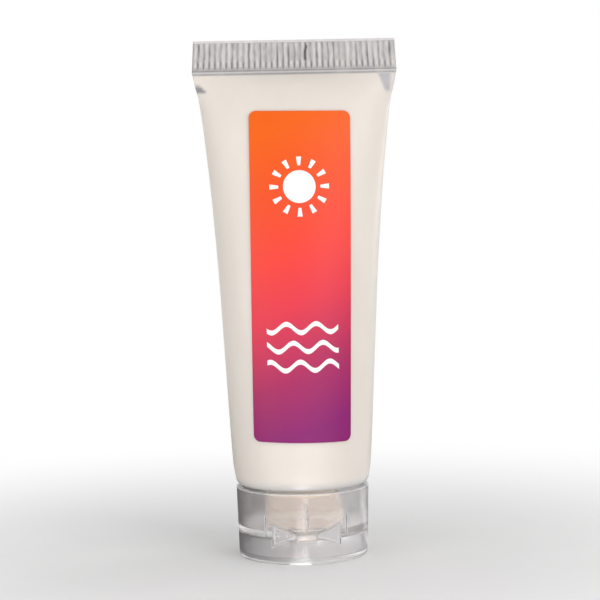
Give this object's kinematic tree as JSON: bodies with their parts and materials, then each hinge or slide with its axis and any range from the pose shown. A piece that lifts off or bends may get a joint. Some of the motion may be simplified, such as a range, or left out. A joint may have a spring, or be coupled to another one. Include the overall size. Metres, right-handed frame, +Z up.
{
  "type": "sunscreen tube",
  "caption": "Small clear squeeze tube of off-white lotion with a ribbed flat crimp, a tall gradient label and a flip-top cap with a butterfly hinge, on which it stands.",
  "frame": {"origin": "middle of the lid's flat face, on the surface that the tube stands on", "axes": "+Z up to the crimped end; the front, with the gradient label and the hinge, faces -Y; the crimp runs along X"},
  "size_m": [0.0384, 0.0252, 0.0971],
  "materials": {
    "sleeve_plastic": "clear satin polyethylene film",
    "head_plastic": "milky polyethylene moulding",
    "cap_plastic": "clear natural polypropylene with a soft frosted look",
    "lotion": "smooth off-white cream",
    "label_print": "satin film printed with an orange to purple gradient",
    "back_label_print": "satin white film, bare of text"
  },
  "bodies": {
    "tube": {"tube_sleeve": "sleeve_plastic", "tube_head": "head_plastic", "lotion_fill": "lotion", "front_label": "label_print", "back_label": "back_label_print", "cap_base": "cap_plastic", "hinge_film": "cap_plastic", "hinge_panel_left": "cap_plastic", "hinge_panel_right": "cap_plastic"},
    "lid": {"cap_lid": "cap_plastic"}
  },
  "joints": [
    {"name": "lid_hinge", "type": "hinge", "parent": "tube", "child": "lid", "pos_m": [0, -0.01248, 0.00495], "axis": [-1, 0, 0], "range_deg": [0, 170]}
  ]
}
